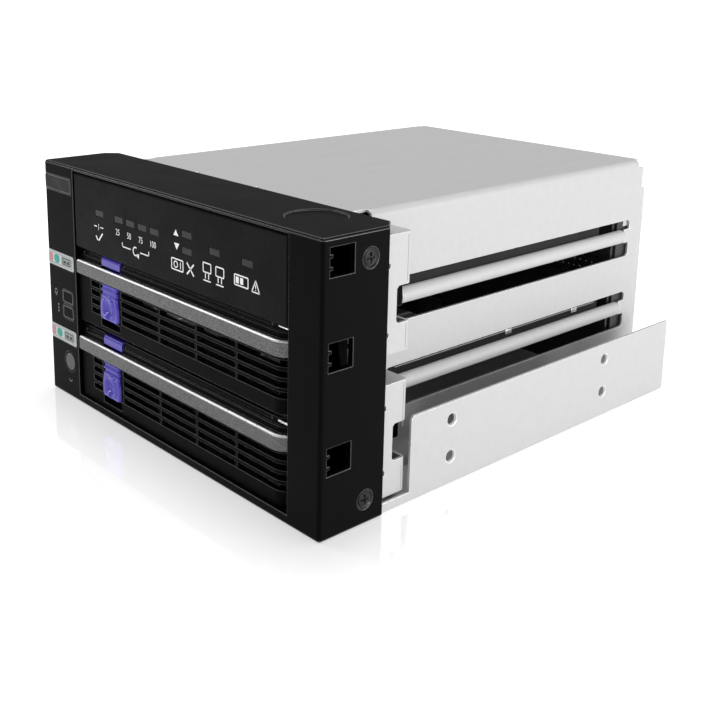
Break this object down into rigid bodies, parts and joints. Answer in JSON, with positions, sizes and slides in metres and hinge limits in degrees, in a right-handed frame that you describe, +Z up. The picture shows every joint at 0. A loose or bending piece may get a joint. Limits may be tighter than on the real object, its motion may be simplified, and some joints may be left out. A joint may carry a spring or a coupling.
{
  "type": "hot swap drive cage",
  "caption": "Sheet metal drive cage with a moulded bezel, indicator panel, latched grille doors on vertical hinge pins, side flanges with screw holes and a rear fan.",
  "frame": {"origin": "under the middle of the cage, on the plane of its flat base", "axes": "+X to the right seen from the front, +Y towards the rear connectors, +Z up"},
  "size_m": [0.1472, 0.1774, 0.0848],
  "materials": {
    "black_plastic": "satin moulded black plastic",
    "black_plate": "fine textured black plate",
    "grey_plate": "mid grey satin",
    "status_film": "printed film in a silver frame",
    "silver_trim": "silver metallic paint with a fine sparkle",
    "violet_plastic": "violet blue semi-gloss plastic",
    "spring_steel": "spring steel strip",
    "bright_steel": "bright steel",
    "chassis_steel": "zinc coated sheet steel, light grey",
    "dark_steel": "black coated sheet steel",
    "dark_screw": "black zinc screws",
    "guide_plastic": "dark grey moulded plastic",
    "circuit_board": "black solder mask",
    "brass_post": "turned brass",
    "heat_sink": "anodised aluminium",
    "socket_plastic": "black socket plastic",
    "socket_white": "off-white nylon",
    "lamp_lens": "smoked clear plastic",
    "fan_plastic": "black fan plastic"
  },
  "bodies": {
    "cage": {"backplane_board": "circuit_board", "base_rivets": "bright_steel", "base_tray": "chassis_steel", "bezel_screws": "dark_screw", "board_shelf": "dark_steel", "board_standoffs": "brass_post", "bracket_lower_left": "chassis_steel", "bracket_lower_right": "chassis_steel", "bracket_upper_left": "chassis_steel", "bracket_upper_right": "chassis_steel", "chassis_shell": "chassis_steel", "control_board": "circuit_board", "controller_heat_sink": "heat_sink", "data_sockets": "socket_plastic", "drive_guide_lower_left": "guide_plastic", "drive_guide_lower_right": "guide_plastic", "drive_guide_upper_left": "guide_plastic", "drive_guide_upper_right": "guide_plastic", "drive_socket_lower": "socket_plastic", "drive_socket_upper": "socket_plastic", "fan_frame": "fan_plastic", "fan_screws": "dark_screw", "front_bezel": "black_plastic", "hinge_pin_lower": "bright_steel", "hinge_pin_upper": "bright_steel", "indicator_board": "circuit_board", "indicator_panel": "black_plate", "key_board": "circuit_board", "light_pipes": "lamp_lens", "name_plate": "grey_plate", "power_sockets": "socket_white", "rear_panel": "chassis_steel", "status_windows": "status_film"},
    "door_upper": {"door_upper": "black_plastic", "door_trim_upper": "silver_trim", "latch_spring_upper": "spring_steel"},
    "door_lower": {"door_lower": "black_plastic", "door_trim_lower": "silver_trim", "latch_spring_lower": "spring_steel"},
    "latch_upper": {"latch_upper": "violet_plastic"},
    "latch_lower": {"latch_lower": "violet_plastic"},
    "key_upper": {"key_upper": "black_plastic"},
    "key_lower": {"key_lower": "black_plastic"},
    "round_button": {"round_button": "grey_plate"},
    "fan_rotor": {"fan_rotor": "fan_plastic"}
  },
  "joints": [
    {"name": "door_lower_hinge", "type": "hinge", "parent": "cage", "child": "door_lower", "pos_m": [0.0529, -0.08213, 0.0165], "axis": [0, 0, 1], "range_deg": [0, 90]},
    {"name": "latch_lower_slide", "type": "slide", "parent": "door_lower", "child": "latch_lower", "axis": [0, 0, -1], "range_m": [0, 0.0026], "stiffness_N_per_m": 120, "springref_m": -0.004, "deforming": ["latch_spring_lower"]},
    {"name": "door_upper_hinge", "type": "hinge", "parent": "cage", "child": "door_upper", "pos_m": [0.0529, -0.08213, 0.044], "axis": [0, 0, 1], "range_deg": [0, 90]},
    {"name": "latch_upper_slide", "type": "slide", "parent": "door_upper", "child": "latch_upper", "axis": [0, 0, -1], "range_m": [0, 0.0026], "stiffness_N_per_m": 120, "springref_m": -0.004, "deforming": ["latch_spring_upper"]},
    {"name": "key_upper_press", "type": "slide", "parent": "cage", "child": "key_upper", "axis": [0, 1, 0], "range_m": [0, 0.0006], "stiffness_N_per_m": 400, "springref_m": -0.001},
    {"name": "key_lower_press", "type": "slide", "parent": "cage", "child": "key_lower", "axis": [0, 1, 0], "range_m": [0, 0.0006], "stiffness_N_per_m": 400, "springref_m": -0.001},
    {"name": "round_button_press", "type": "slide", "parent": "cage", "child": "round_button", "axis": [0, 1, 0], "range_m": [0, 0.0006], "stiffness_N_per_m": 400, "springref_m": -0.001},
    {"name": "fan_spin", "type": "hinge", "parent": "cage", "child": "fan_rotor", "pos_m": [-0.022, 0.08128, 0.039], "axis": [0, 1, 0], "continuous": true}
  ]
}
